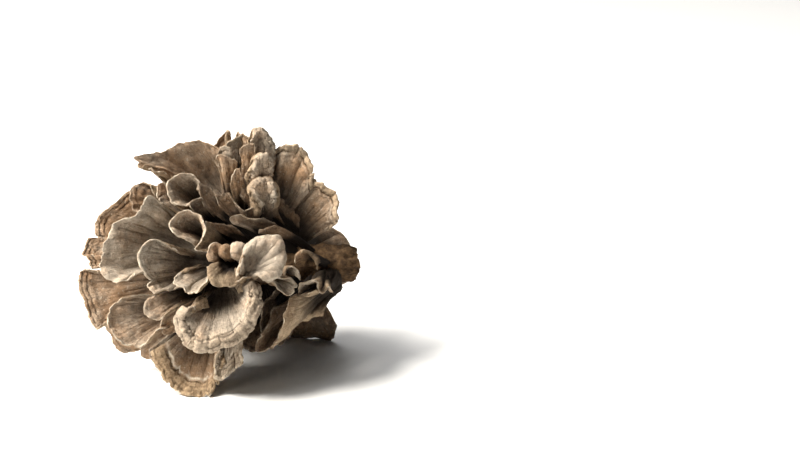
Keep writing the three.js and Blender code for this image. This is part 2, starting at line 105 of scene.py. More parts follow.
# the tallest cap, at the top left
capGroups += [("crown", {}, {
    "crest": dict(root=(6, 62, -12), bend=(-5, 80, -8), flesh=1.2, edge=0.5, ruffle=0.8,
        folds=0.8, foldWidth=7, lobes=0.8, tears=0.6, terraces=0.05, cracks=0, pale=0.15,
        tone=0.15, bloom=0.25,
        rim=[(-18, 75, -18), (-23, 79, -21), (-26, 82, -23), (-29.4, 84.2, -25),
            (-31.2, 82.6, -26), (-32.6, 83.4, -26), (-31.9, 85, -25.5), (-34, 86.6, -25),
            (-31.5, 88.2, -23), (-25.8, 89.2, -19), (-20.8, 90.5, -18), (-16.7, 93, -17),
            (-12.5, 94.2, -17), (-8, 94.7, -17), (-3, 93.4, -17), (1.5, 90.5, -19),
            (2.8, 85, -21)]),
    "crestHem": dict(root=(2, 62, -13), bend=(-14, 72, -13), stem=4, folds=0.3, terraces=0,
        pale=0.8, tone=0.2, bloom=0.35,
        rim=[(-19, 79, -23), (-20.5, 81.5, -25), (-25, 83, -26), (-28, 83.5, -26.5),
            (-25, 80.5, -25.5), (-21.5, 77, -24), (-19, 74, -22)]),
})]

# its torn folds and flaps
capGroups += [("crown", dict(stem=5, flesh=1.2, edge=0.5, jag=0.72, tears=1.95, tearGap=5,
                             roll=1.2, rollWidth=3, tone=0.05, torn=True), {
    "crestFoldLeft": dict(root=(9, 58, -13), bend=(6, 74, -18), spread=0.6, folds=1.6,
        foldWidth=4, terraces=0, pale=0.5,
        rim=[(1, 86, -21), (1.5, 89.5, -23), (4, 90, -25), (7, 89, -24), (9, 86, -22)]),
    "crestFoldRight": dict(root=(12, 56, -13), bend=(10, 69, -19), stem=4, spread=0.6,
        folds=1.2, foldWidth=4, terraces=0, roll=1, rollWidth=6, pale=0.5,
        rim=[(6.2, 76, -24), (6.7, 80, -26), (8, 82.3, -27), (10.2, 83.5, -26), (11.8, 80, -24),
            (12, 76, -23)]),
    "crestTip": dict(root=(8, 62, -12), bend=(3, 82, -10), terraces=0.1, pale=0.35, tone=0,
        rim=[(-3, 92, -13), (0, 96, -14), (3.7, 99.2, -15), (6.9, 99.6, -16), (6, 96, -17),
            (5, 93, -17)]),
    "crestFlap": dict(root=(9, 62, -12), bend=(8, 84, -15), stem=4, flesh=1.7, edge=0.65,
        jag=0.4, tears=0.33, tearGap=11, tone=0.9,
        rim=[(4.2, 92.5, -18), (5.4, 95, -19), (7.8, 97.3, -19), (11, 97.3, -18),
            (11.3, 94, -18)]),
    "crestLedge": dict(root=(9, 60, -13), bend=(5, 82, -18), stem=4, flesh=1.7, edge=0.65,
        jag=0.4, tears=0.33, tearGap=11, tone=1,
        rim=[(0.8, 90, -21), (2, 92.6, -22), (4.5, 93, -24), (7.4, 92, -24), (7.2, 89.5, -23)]),
    "crestHood": dict(root=(11, 60, -12), bend=(11, 86, -12), pale=0.35, tone=0.2,
        rim=[(7.5, 96, -15), (8.8, 99, -15), (12, 98.9, -16), (14.5, 97, -17), (17, 97, -18),
            (17.5, 93, -18)]),
    "crestColumn": dict(root=(13, 56, -12), bend=(13, 78, -20), folds=1.3, foldWidth=4,
        terraces=0, pale=0.35, tone=0.15, bloom=-0.15,
        rim=[(10.6, 88, -22), (11, 92, -24), (13, 94.8, -25), (16.4, 94, -24), (16.8, 88, -22)]),
})]

# a wall behind them, darkened with painted shade so the pocket in front of it shows dark
capGroups += [("crown", {}, {
    "crestWall": dict(root=(12, 58, -11), bend=(10, 80, -10), stem=5, terraces=0, tone=0,
        bloom=-0.5,
        rim=[(2, 90, -11), (6, 95, -11), (12, 96, -11), (18, 93, -11), (21, 86, -11)]),
})]

# thick knobbly lumps beside them
capGroups += [("crown", dict(stem=5, flesh=5.5, edge=3.5, crinkle=1.3, foldWidth=6, lobes=2,
                             jag=0.3, tears=0.8, cracks=0, pale=0.1), {
    "lumpHigh": dict(root=(14, 56, -12), bend=(18, 84, -16), flesh=5, edge=3, tone=0.8,
        rim=[(15, 92, -20), (15.2, 97, -21), (17, 100.3, -21), (20, 100, -20), (23, 96, -18),
            (25, 90, -16)]),
    "lumpMiddle": dict(root=(15, 54, -13), bend=(19, 74, -18), tone=0.6,
        rim=[(15.2, 78, -24), (15.2, 85, -26), (17.5, 89.5, -26), (22, 89, -24), (24.5, 84, -22)]),
    "lumpLow": dict(root=(17, 52, -13), bend=(21, 66, -20), tone=0.7,
        rim=[(19, 67.5, -27), (16.6, 71, -28), (16.8, 76.5, -28), (21, 79, -27), (26, 76, -25),
            (27, 70, -24)]),
})]

# the broad belted caps above the stump
capGroups += [("crown", dict(spread=0.6, ruffle=1.8, ruffleLength=14, folds=1, lobes=2.4,
                             tears=2.2, terraces=0.4, band=4, bandRise=0.4, pale=0.3), {
    "shoulder": dict(root=(17, 48, -11), bend=(27, 74, -10), tone=0.35,
        rim=[(22, 86, -12), (25, 92, -15), (31, 94, -17), (37, 91, -18), (41, 85, -18),
            (42, 76, -16)]),
    "shoulderLow": dict(root=(24, 45, -9), bend=(38, 64, -8), tone=0.3,
        rim=[(36, 76, -12), (41, 78.5, -16), (47, 76, -18), (52, 70, -19), (53, 63, -18),
            (49, 57, -14)]),
})]

# the left side
capGroups += [("leftFans", dict(ruffle=0.8, lobes=0.64, jag=0.35, terraces=0.3, cracks=1,
                                tone=0.1, torn=True), {
    "buttonCap": dict(root=(5, 60, -12), bend=(-24, 70, -13), stem=4, ruffle=0.4, jag=0.3,
        tears=0.33, terraces=0.2, zone=4.6, cracks=0.2, pale=0.15, tone=0.25, bloom=-0.2,
        torn=False,
        rim=[(-27, 65, -23), (-31.5, 64, -25), (-34.6, 67.6, -25), (-35.5, 71.8, -24),
            (-35, 74.7, -21), (-31.7, 76.5, -18), (-28.8, 76.4, -18), (-27.1, 74.3, -19),
            (-25, 71.4, -20)]),
    "leftHigh": dict(root=(3, 44, -14), bend=(-28, 58, -6), lobes=0.72, tears=1, zone=2.8,
        pale=0.3,
        rim=[(-45, 51, -14), (-49.6, 53.2, -16), (-51.6, 55.5, -16), (-51.6, 59.6, -15),
            (-50, 63, -14.5), (-45.8, 66.3, -14), (-39.6, 72.1, -13), (-37.6, 73.8, -13),
            (-35.8, 69.6, -12), (-32, 63, -12)]),
    "leftMiddle": dict(root=(2, 43, -14), bend=(-30, 47, -9), ruffle=0.6, lobes=0.56, tears=1,
        zone=2, pale=0.7,
        rim=[(-42, 40, -19), (-52, 40.4, -20.5), (-54.2, 45, -20), (-56.4, 46.2, -20),
            (-55.4, 49.5, -19), (-53.8, 53.6, -18), (-49, 53.5, -16), (-43, 53, -14)]),
    "leftLow": dict(root=(2, 40, -15), bend=(-30, 33, -11), jag=0.46, zone=2.2, cracks=0.9,
        pale=0.5,
        rim=[(-40, 22, -26), (-48.3, 17.3, -25.5), (-49.6, 15.7, -25.5), (-51, 18, -25),
            (-53.3, 23.4, -25), (-55.4, 28.4, -24.5), (-56.6, 31.3, -24), (-57.2, 36, -23.5),
            (-56.7, 39.7, -23), (-54.6, 40, -22.5), (-50.8, 39, -21.5), (-43, 38.5, -19.5)]),
})]

# the grey fans of the middle
capGroups += [("middleFans", dict(pale=0.6, tone=0.9), {
    "greyFan": dict(root=(3, 43, -16), bend=(-20, 52, -17), stem=8, ruffle=2.4, ruffleLength=14,
        folds=1.7, foldWidth=10, lobes=2.24, jag=0.46, tears=0.98, terraces=0.1, cracks=0.15,
        roll=-0.8, rollWidth=4, pale=0.55, bloom=0.3,
        rim=[(-26.7, 37.1, -34), (-29.2, 38.4, -36), (-33, 37.6, -38.5), (-36.3, 35.2, -40),
            (-40.4, 35.7, -40.5), (-42.5, 37.5, -40.5), (-44, 41.3, -40), (-44.9, 47.5, -38.5),
            (-44.2, 51.3, -37.5), (-42.6, 55, -36.5), (-41.7, 58.4, -35.5),
            (-38.8, 61.3, -34.5), (-35, 63.8, -34), (-29.8, 66.3, -33), (-28.3, 67.8, -32.5),
            (-26.7, 70.6, -31), (-22, 69.6, -28)]),
    "shell": dict(root=(4, 41, -17), bend=(-15, 45, -30), ruffle=0.9, folds=1.2, lobes=0.64,
        tears=0.52, terraces=0.4, zone=2, cracks=0.1, pale=0.9, bloom=0.1,
        rim=[(-23, 36.2, -38), (-25.6, 36.8, -40), (-27.5, 39.2, -42), (-29.6, 43, -44),
            (-30, 46.7, -44), (-28.3, 50, -42.5), (-25.8, 52.5, -40.5), (-22.5, 53.2, -38),
            (-20.4, 52.5, -37), (-18, 50.5, -36), (-14.6, 48, -34)]),
    "shellLobe": dict(root=(2, 39, -17), bend=(-13, 38, -28), folds=0.9, tears=1.3, tone=0.7,
        bloom=0.1,
        rim=[(-13, 35, -38), (-15.5, 33.8, -39.5), (-18, 33.3, -41), (-20.8, 31.6, -42.5),
            (-23, 31.1, -43), (-25, 32.2, -42.5), (-26.2, 34.6, -41), (-25, 37, -39)]),
    "tongue": dict(root=(8, 41, -18), bend=(-4, 41, -32), folds=0.5, terraces=0, cracks=0,
        roll=1,
        rim=[(-0.3, 42, -40), (0, 38.4, -44), (-1.3, 34.2, -46), (-4.6, 30, -47),
            (-7.1, 29, -47), (-10.4, 30, -46), (-11.3, 32.1, -45.5), (-13.3, 33.4, -45),
            (-15.4, 35, -44), (-15.2, 38, -42), (-10, 40, -38)]),
    "saddle": dict(root=(11, 41, -18), bend=(6, 43, -44), ruffle=0.5, lobes=0.4, tears=0.33,
        pale=0.7, tone=0.7, bloom=-0.3,
        rim=[(-0.5, 42.6, -40), (-0.6, 38, -44), (1.5, 34.3, -45.5), (6.5, 33.8, -45),
            (11.8, 34.5, -43), (12.8, 38.5, -39)]),
})]

# cups and strips in the heart
capGroups += [("heart", dict(stem=4, terraces=0, pale=1), {
    "upperCup": dict(root=(7, 57, -13), bend=(-11, 72, -13), ruffle=0.7, lobes=0.56, tears=0.39,
        cracks=0, roll=-0.7, rollWidth=3, pale=0.9, tone=0.6,
        rim=[(-8, 69, -27), (-12.5, 67.6, -30), (-16.7, 70, -31), (-19, 73.8, -30.5),
            (-18.3, 76.5, -29), (-16.2, 78.5, -27.5), (-12.9, 79.9, -26), (-9.6, 79.5, -25),
            (-7, 77.2, -24.5), (-6, 73.5, -25)]),
    "lowerCup": dict(root=(7, 46, -15), bend=(-8, 57, -24), stem=5, ruffle=0.6, lobes=0.48,
        tears=0.39, cracks=0, roll=-0.7, rollWidth=3,
        rim=[(-5.2, 50, -35.5), (-8.5, 52.3, -38), (-12.5, 55, -39.5), (-15.8, 57.5, -39.8),
            (-16.4, 59.3, -39), (-15, 62.1, -37.5), (-12.9, 64.3, -36), (-10.2, 65, -35),
            (-7.3, 63.9, -34.5), (-5, 61.4, -35), (-3.6, 57.9, -36), (-3.8, 53.5, -36.5)]),
    "cupSkirt": dict(root=(9, 44, -16), bend=(1, 55, -30), stem=5, pale=0.9, bloom=-0.2,
        rim=[(-4, 61, -33), (-3, 57, -35), (-4.2, 52.5, -37), (-7.2, 49.2, -38),
            (-3, 47.6, -37), (1, 48, -35)]),
    "curlBehindCup": dict(root=(8, 54, -14), bend=(-4, 63, -24), roll=1, pale=0.35, tone=0.3,
        bloom=-0.5,
        rim=[(-8.5, 64.4, -31), (-9.9, 68.3, -32), (-8.3, 70.4, -31), (-4.6, 70.8, -29),
            (-4.4, 67, -28)]),
    "stripHigh": dict(root=(6, 52, -13), bend=(-13, 63, -24), stem=3, bloom=-0.4,
        rim=[(-21.5, 67.8, -28), (-23, 69.8, -28), (-21.6, 71.2, -27)]),
    "stripMiddle": dict(root=(6, 53, -13), bend=(-9, 64, -24), stem=3, tone=0.3, bloom=-0.4,
        rim=[(-16.5, 67.5, -29.5), (-18, 70.2, -29), (-16, 70.6, -28)]),
    "knobHigh": dict(root=(6, 58, -12), bend=(-14, 70, -16), terraces=0.25, pale=0.8, tone=0,
        bloom=-0.2,
        rim=[(-24.2, 70, -24), (-25.2, 73.5, -24), (-24, 76.2, -22), (-20, 76, -21)]),
})]

# long blades between the heart and the stump
capGroups += [("heart", dict(stem=4, flesh=1.2, edge=0.5, lobes=0.32, terraces=0, tone=0.2,
                             bloom=-0.5, torn=True), {
    "bladeA": dict(root=(20, 47, -12), bend=(4, 64, -22),
        rim=[(-5, 66, -28), (-6.5, 72, -28), (-6.4, 76.5, -26), (-3, 75, -25), (0, 72.5, -24)]),
    "bladeB": dict(root=(26, 45, -11), bend=(10, 63, -23), spread=0.6, folds=0.4, tone=0.25,
        rim=[(2, 66, -26), (0, 71.7, -26), (5.2, 72.2, -25), (8, 68.6, -25), (13.7, 64.8, -24)]),
    "bladeBTip": dict(root=(27, 46, -11), bend=(16, 62, -20), stem=3,
        rim=[(12.5, 64.8, -24), (14.8, 66.4, -25), (16.6, 68.5, -24), (17.5, 66, -22)]),
    "bladeC": dict(root=(36, 44, -10), bend=(21, 63, -17), spread=0.6, folds=0.4, tone=0.25,
        rim=[(10, 71, -22), (11.2, 74.6, -23), (12.6, 74.4, -22), (20.6, 70, -19),
            (25.5, 66, -17)]),
    "bladeD": dict(root=(34, 45, -12), bend=(21, 58.5, -24), spread=0.7, folds=0.4, tone=0.3,
        rim=[(8, 59.5, -28), (6.9, 61.8, -28), (10.4, 63, -27.5), (13.7, 61.8, -27),
            (20.4, 62.2, -26), (25, 59.5, -24)]),
    "bladeE": dict(root=(44, 44, -11), bend=(32, 56, -24), stem=3, tears=0, tone=0.1, bloom=-0.4,
        rim=[(18.4, 55.2, -29), (18.4, 57.2, -29), (25, 58.4, -28)]),
    "bladeF": dict(root=(18, 46, -14), bend=(8, 56.5, -24), tone=0, bloom=-0.4,
        rim=[(-2.5, 57, -29), (-3, 60.4, -29), (3, 59.6, -27), (9, 57.6, -25)]),
    "bladeG": dict(root=(38, 46, -9), bend=(26, 62, -14), flesh=1.7, edge=0.65, spread=0.6,
        lobes=1.9, tone=0.1, torn=False,
        rim=[(18, 70, -16), (20, 75, -16), (28, 70, -14), (36, 62, -12)]),
})]

# the edge beside the buds
capGroups += [("heart", {}, {
    "budMargin": dict(root=(8, 40, -17), bend=(3, 45, -40), stem=4, terraces=0, roll=0.8,
        pale=1, tone=0.2,
        rim=[(-0.5, 44, -38), (-1.7, 48.5, -37), (0, 52.3, -35), (1.8, 51.6, -34),
            (5.5, 46.5, -35)]),
})]

# the pale petal
capGroups += [("middleFans", dict(stem=5, terraces=0), {
    "paleCap": dict(root=(13, 37.5, -34), bend=(20, 44.5, -54), spread=0.5, ruffle=1, folds=1.1,
        foldWidth=7, tears=0.65, cracks=0, pale=0.5, tone=0.9, bloom=0.5,
        rim=[(10.5, 37.5, -46), (12, 43, -46), (14, 50, -45), (17.6, 54.2, -44),
            (22.9, 55.6, -43.5), (28, 55, -43), (31, 50, -44), (31.5, 44, -46),
            (28.5, 38.5, -48), (22, 36.5, -50)]),
    "paleCapFoot": dict(root=(12, 37, -18), bend=(16, 38, -42), pale=0.7, tone=0.8, bloom=0.6,
        rim=[(24.6, 41.2, -43), (20.4, 39.2, -44), (18.5, 38, -44.5), (14.6, 37.4, -44.5),
            (11, 35, -44), (11.4, 39.5, -41)]),
})]

# the front and the foot
capGroups += [("lowerFans", dict(pale=0.9), {
    "spoon": dict(root=(1, 31, -16), bend=(-23, 22, -29), stem=7, tears=0.78, terraces=0.1,
        cracks=0.1, roll=0.8, rollWidth=4, bloom=0.15,
        rim=[(-17.5, 16.5, -37), (-20.8, 14.6, -39.5), (-25, 11.7, -42), (-29.2, 9, -43.5),
            (-32.5, 8.8, -44), (-36.3, 9.8, -44.5), (-38.3, 11.8, -44.5), (-40.8, 15.5, -44),
            (-42.4, 19.2, -43), (-42.4, 22.5, -42), (-41.2, 26.3, -40), (-38.3, 28.8, -38.5),
            (-33.8, 30.6, -36.5), (-29.2, 31.4, -34.5), (-24, 31, -32.5)]),
    "spoonLobe": dict(root=(0, 33, -17), bend=(-15, 30, -37), stem=4, tears=0.65, terraces=0,
        tone=0.4,
        rim=[(-17.6, 23, -41.5), (-19.6, 20.8, -43), (-22.5, 19.9, -44), (-25, 21.3, -44.5),
            (-26.8, 23.4, -44), (-27.4, 26.7, -43), (-26.5, 29, -41)]),
    "spoonNeck": dict(root=(0, 32, -16), bend=(-12, 24, -30), stem=5, terraces=0, pale=0.5,
        tone=0.2,
        rim=[(-15, 14, -33), (-20, 13.5, -35), (-21, 18, -37), (-18, 23, -37), (-12, 27, -36)]),
    "greatFan": dict(root=(6, 37, -17), bend=(3, 27, -45), stem=9, flesh=2.2, edge=1.2,
        spread=0.5, ruffle=1, lobes=1.44, jag=0.49, tears=1.95, tearGap=8, terraces=0.6, zone=3,
        cracks=0.8, band=6.5, bandRise=1.3, roll=-3, rollWidth=8, pale=0.3, tone=0.75,
        bloom=0.12,
        rim=[(13, 31.5, -37), (15.8, 34.7, -40), (18.5, 34.8, -42), (20, 32.5, -44),
            (20, 29, -46), (19.5, 24, -48), (18, 19.2, -49.5), (15, 16, -50.5),
            (11.5, 12.8, -51), (7.5, 10.8, -51.5), (3.3, 9.2, -51.5), (-0.5, 8.6, -51.3),
            (-4.8, 9.2, -51), (-7.6, 10.4, -50.5), (-9.8, 13, -50), (-11.8, 15.8, -49),
            (-12.4, 18.4, -48), (-11.8, 21, -47.5), (-9.6, 23.6, -46), (-6.5, 25.7, -43),
            (-3.5, 28, -39)]),
    "footFan": dict(root=(0, 28, -16), bend=(-5, 9, -27), stem=8, folds=0.8, foldWidth=4,
        lobes=1.44, tears=2, tearGap=7, terraces=0.4, zone=2.6, cracks=0.5, band=6.5,
        bandRise=0.5, pale=1.2, tone=0, bloom=0.05,
        rim=[(6, 2, -36), (3, -3, -36), (2.5, -6.6, -35.5), (0.8, -9.8, -35.5),
            (-2.1, -12, -35.5), (-6.3, -12.6, -35.5), (-12.5, -11.4, -34.5),
            (-15.8, -9.4, -33.5), (-18.5, -7.6, -33), (-20.9, -5.8, -32), (-22.5, -3, -31),
            (-25, 2, -30), (-26.5, 7, -29)]),
    "footLobe": dict(root=(4, 28, -17), bend=(8, 12, -30), crinkle=0.8, folds=0.8, foldWidth=3,
        jag=0.42, zone=2.5, cracks=0.8, band=7, bandRise=0.5, pale=0.8, tone=0.7,
        rim=[(14, 13, -37), (12.9, 7.1, -39), (11.7, 3, -38.5), (8.3, -1.2, -38),
            (4.6, -4.5, -37.5), (1.3, -5.3, -37), (0.2, -2, -36.5), (0, 3, -36)]),
})]

# under the left side
capGroups += [("leftFans", {}, {
    "lowLeft": dict(root=(-1, 27, -14), bend=(-26, 18, -8), lobes=0.64, jag=0.46, tears=0.98,
        terraces=0.3, cracks=0.5, pale=0.6, tone=0.3,
        rim=[(-32, 6.5, -8), (-35.6, 5, -8), (-39, 4.2, -9), (-42.8, 5.6, -10),
            (-44.4, 8.6, -11), (-45.4, 12.6, -12), (-47.4, 15, -13), (-46.8, 19.4, -14),
            (-41, 22, -15)]),
})]

# folds beside the foot
capGroups += [("lowerFans", {}, {
    "lowFold": dict(root=(-1, 26, -15), bend=(-20, 14, -14), folds=1, foldWidth=4, pale=0.9,
        tone=0.2, bloom=-0.3,
        rim=[(-22, 2, -22), (-27, 1.5, -20), (-31.3, 3.2, -17), (-34, 6.5, -14), (-36, 11, -14)]),
    "lowPleat": dict(root=(-1, 26, -16), bend=(-16, 12, -22), folds=1.4, foldWidth=2.6,
        pale=0.7, bloom=-0.4,
        rim=[(-20, -3, -29), (-23, -1, -28.5), (-26.5, 2, -27), (-28, 7, -26)]),
})]

# curled strips on the right
capGroups += [("middleFans", dict(stem=4, terraces=0, pale=0.5, tone=1), {
    "ribbon": dict(root=(16, 39, -17), bend=(25, 38, -37), stem=5, ruffle=1.6, ruffleLength=9,
        pale=0.4, bloom=0.6,
        rim=[(24, 41, -40), (28, 41, -42), (29.8, 37.5, -43), (33, 37, -42.5),
            (35.5, 34.6, -43), (35.2, 32.2, -44), (33, 30.8, -44), (29.6, 33, -44),
            (26.2, 35, -43.5), (22.8, 35.4, -43), (20.6, 37.2, -42)]),
    "ribbonBack": dict(root=(24, 40, -15), bend=(31, 41, -34), bloom=-0.3,
        rim=[(29, 37, -38), (29.5, 40.5, -37), (33, 42.4, -37), (35.8, 40, -38), (36.5, 36, -39)]),
    "arch": dict(root=(46, 42, -12), bend=(40, 48, -29), pale=0.8, tone=0, bloom=-0.2,
        rim=[(33, 42, -28), (33.5, 46.5, -29), (37, 47.6, -28), (41, 44, -26), (43, 39, -26)]),
    "ears": dict(root=(46, 39, -12), bend=(43, 33, -30), stem=5, terraces=0.25, tone=0.6,
        torn=True,
        rim=[(35, 30.5, -37), (35.6, 35.5, -37), (39.8, 36, -36.5), (41.8, 37.3, -36),
            (44, 35.6, -35), (45, 32, -34), (48, 34, -31), (50, 31, -30)]),
})]

# veils under the stump; all but the front veil are darkened with painted shade
capGroups += [("lowerFans", dict(tone=0), {
    "rightVeil": dict(root=(50, 37, -10), bend=(41, 25, -36), stem=8, folds=0.9, foldWidth=6,
        tears=0.98, terraces=0.1, pale=0.9, tone=0.1,
        rim=[(42, 33, -35), (37.5, 30.5, -37), (31.8, 30.2, -39), (31, 26, -40.5),
            (28.8, 21.7, -41), (28.2, 16.3, -40), (25.2, 10.5, -38), (23.5, 8.6, -37),
            (27, 13, -35.5), (30.6, 15.6, -34), (34, 17.5, -32), (40, 19.3, -29), (45, 21, -26)]),
    "rightVeilInner": dict(root=(44, 38, -11), bend=(31, 22, -24), folds=0.8, terraces=0.2,
        pale=0.35, bloom=-0.6,
        rim=[(27.5, 10, -35), (23, 7.8, -36.5), (17.5, 7.3, -36.5), (18.6, 13.4, -37.5),
            (22, 19, -37.5), (26, 25, -36.5)]),
    "rightVeilBack": dict(root=(34, 39, -12), bend=(26, 26, -20), folds=0.8, pale=0.4,
        bloom=-0.6,
        rim=[(26, 14, -28), (21, 14, -30), (20.5, 21, -32), (21, 28, -33), (25, 33, -32)]),
    "underFan": dict(root=(12, 37, -15), bend=(16, 18, -20), pale=0.5, tone=0.1, bloom=-0.7,
        rim=[(23, 11, -26), (19, 6.5, -28), (13, 6.6, -29), (10, 12, -28)]),
    "innerWall": dict(root=(18, 40, -12), bend=(20, 28, -13), stem=8, bloom=-0.7,
        rim=[(34, 16, -14), (28, 8, -18), (18, 8, -20), (8, 12, -20), (3, 20, -20)]),
})]

# the back, three of them reaching the floor
capGroups += [("rearFans", dict(stem=9, spread=0.75, folds=1.1, terraces=0.35), {
    "backLeftHigh": dict(root=(6, 46, -12), bend=(-18, 57, 4),
        rim=[(-38, 50, 2), (-44, 57, 4), (-41, 65, 6), (-32, 69, 6), (-22, 68, 4)]),
    "backLeftLow": dict(root=(6, 40, -11), bend=(-18, 38, 10),
        rim=[(-32, 27, 10), (-43, 30, 12), (-48, 38, 13), (-44, 46, 13), (-34, 48, 10)]),
    "backFootLeft": dict(root=(4, 33, -12), bend=(-12, 24, 18), tone=0.3,
        rim=[(-8, 8.7, 28), (-18, 9.2, 30), (-28, 8.3, 27), (-37, 9, 22), (-38, 15, 18)]),
    "backFootMiddle": dict(root=(12, 38, -9), bend=(6, 24, 24),
        rim=[(18, 12, 27), (13, 9.5, 31), (4, 10, 32.5), (-5, 9.5, 31), (-10, 13, 27)]),
    "backFootRight": dict(root=(30, 41, -7), bend=(34, 22, 20), tone=0.3, bloom=-0.4,
        rim=[(50, 15, 18), (47, 8, 24), (38, 8.4, 27.5), (28, 8.7, 28.5), (20, 12, 25)]),
    "backMiddle": dict(root=(20, 44, -8), bend=(8, 54, 20),
        rim=[(-12, 50, 16), (-8, 59, 20), (4, 64, 23), (16, 62, 22), (24, 54, 18)]),
    "backHigh": dict(root=(13, 52, -8), bend=(6, 74, 2),
        rim=[(-12, 76, 2), (-8, 84, 6), (4, 89, 8), (14, 87, 7), (20, 78, 3)]),
    "backRight": dict(root=(34, 43, -6), bend=(44, 46, 16), tone=0.3,
        rim=[(38, 58, 14), (49, 57, 19), (57, 48, 20), (58, 37, 19), (48, 30, 16)]),
})]


# From the frame of the open face to the mushroom's own frame, still in mm
def place(point):
    across, up, behind = point
    tilt = math.radians(body["faceTilt"])
    return Vector((
        across + body["middle"][0],
        behind * math.cos(tilt) + up * math.sin(tilt) + body["middle"][1],
        up * math.cos(tilt) - behind * math.sin(tilt),
    ))


# Short words for the nodes used most, with the settings that go with each
nodeWords = {
    "spread": ("ShaderNodeMapRange", {}),
    "stretch": ("ShaderNodeMapRange", {"clamp": False}),
    "smooth": ("ShaderNodeMapRange", {"interpolation_type": "SMOOTHSTEP"}),
    "mix": ("ShaderNodeMix", {"data_type": "RGBA"}),
    "between": ("ShaderNodeMix", {"data_type": "FLOAT"}),
    "lean": ("ShaderNodeMix", {"data_type": "VECTOR", "clamp_factor": False}),
    "noise": ("ShaderNodeTexNoise", {"noise_dimensions": "3D"}),
    "noise1D": ("ShaderNodeTexNoise", {"noise_dimensions": "1D"}),
    "noise4D": ("ShaderNodeTexNoise", {"noise_dimensions": "4D"}),
    "xyz": ("ShaderNodeCombineXYZ", {}),
    "parts": ("ShaderNodeSeparateXYZ", {}),
    "grey": ("ShaderNodeCombineColor", {}),
    "here": ("GeometryNodeInputPosition", {}),
    "move": ("GeometryNodeSetPosition", {}),
    "capture": ("GeometryNodeCaptureAttribute", {}),
    "store": ("GeometryNodeStoreNamedAttribute", {"data_type": "FLOAT_VECTOR"}),
}
numberWords = {
    "+": "ADD", "-": "SUBTRACT", "*": "MULTIPLY", "/": "DIVIDE", "*+": "MULTIPLY_ADD",
    "<": "LESS_THAN", ">": "GREATER_THAN", "max": "MAXIMUM", "min": "MINIMUM", "power": "POWER",
    "root": "SQRT", "abs": "ABSOLUTE", "floor": "FLOOR", "fraction": "FRACT", "sine": "SINE",
    "cosine": "COSINE",
}
vectorWords = {
    "vector+": "ADD", "vector-": "SUBTRACT", "scale": "SCALE", "dot": "DOT_PRODUCT",
    "distance": "DISTANCE", "unit": "NORMALIZE",
}
for kind, words in (("ShaderNodeMath", numberWords), ("ShaderNodeVectorMath", vectorWords)):
    nodeWords.update({word: (kind, {"operation": operation}) for word, operation in words.items()})


# Adds one node, given its type or its word. Values go to its inputs in order, and None
# leaves one as it is.
def addNode(tree, kind, *values, **settings):
    kind, usual = nodeWords.get(kind, (kind, {}))
    made = tree.nodes.new(kind)
    for name, value in {**usual, **settings}.items():
        setattr(made, name, value)
    shown = [socket for socket in made.inputs if socket.enabled]
    for socket, value in zip(shown, values):
        if isinstance(value, bpy.types.Node):
            value = next(out for out in value.outputs if out.enabled)
        if isinstance(value, bpy.types.NodeSocket):
            tree.links.new(value, socket)
        elif value is not None:
            socket.default_value = value
    return made


# The name of a tree's input for a setting, such as Ruffle Length for ruffleLength
def label(key):
    return re.sub("([A-Z])", r" \1", key).title()


def newTree(name, settings, **inputs):
    tree = bpy.data.node_groups.new(name, "GeometryNodeTree")
    tree.interface.new_socket("Geometry", in_out="OUTPUT", socket_type="NodeSocketGeometry")
    numbers = {label(key): "Float" for key in settings}
    for title, kind in {"Geometry": "Geometry", **inputs, **numbers, "Seed": "Float"}.items():
        tree.interface.new_socket(title, in_out="INPUT", socket_type="NodeSocket" + kind)
    return tree, tree.nodes.new("NodeGroupInput").outputs, partial(addNode, tree)


# Runs a tree on an object with the inputs named, and gives back the plain mesh it makes
def grow(source, tree, inputs):
    modifier = source.modifiers.new("grow", "NODES")
    modifier.node_group = tree
    for item in tree.interface.items_tree:
        if item.in_out == "INPUT" and item.name in inputs:
            modifier[item.identifier] = inputs[item.name]
    bpy.context.view_layer.update()
    graph = bpy.context.evaluated_depsgraph_get()
    mesh = bpy.data.meshes.new_from_object(source.evaluated_get(graph), depsgraph=graph)
    bpy.data.objects.remove(source)
    return mesh


def curveThrough(name, points, radii=None, torn=False):
    curve = bpy.data.curves.new(name, "CURVE")
    curve.dimensions = "3D"
    curve.resolution_u = 16
    spline = curve.splines.new("BEZIER")
    spline.bezier_points.add(len(points) - 1)
    for k, (knot, point) in enumerate(zip(spline.bezier_points, points)):
        knot.co = place(point)
        knot.handle_left_type = knot.handle_right_type = "VECTOR" if torn else "AUTO"
        knot.radius = radii[k] if radii else 1
    made = bpy.data.objects.new(name, curve)
    bpy.context.collection.objects.link(made)
    return made


# The relief of caps and limbs, in mm, before a cap's own settings
relief = {
    # how far apart the features are, and how long they are, where it is called a run
    "lobe": 9, "jag": 2.4, "split": 6.5, "crinkle": 3.4, "crinkleRun": 5, "foldRun": 30, "lump": 8,
    "grain": 1.3, "zoneSway": 12, "zoneWaver": 2.2, "crackRun": 7, "knob": 7, "furrowRun": 8.75,
    # how deep or high they are, where no cap has its own setting for it
    "splitDepth": 1.7, "lumpRise": 1.4, "grainRise": 0.3, "swayDepth": 1.4, "waverDepth": 0.3,
    # from where to where a notch, a split, a crack and the crack along a belt close up again
    "tearSide": (0.1, 1.1), "splitSide": (0.2, 0.8), "crackSide": (0.1, 0.6),
    "beltSide": (0.25, 0.85),
    "beltStart": (-0.6, 0.4),     # over which the crusty belt begins
    "ringIn": 1.5, "ringSide": (0.9, 0.1),     # the pale ring inside the belt
    "thinFrom": (10, 0.8),        # how far from the rim the flesh begins and ends to thin
    "crinkleFrom": (0, 9), "foldFrom": (0, 12),     # crinkles fade and folds rise away from it
    "rootRound": 3,               # over which the root is rounded off
    "limbRadius": 6,              # a mean, for marks that run round a limb
    "seedStep": 37.7,             # how far along the same noise the next cap starts
}
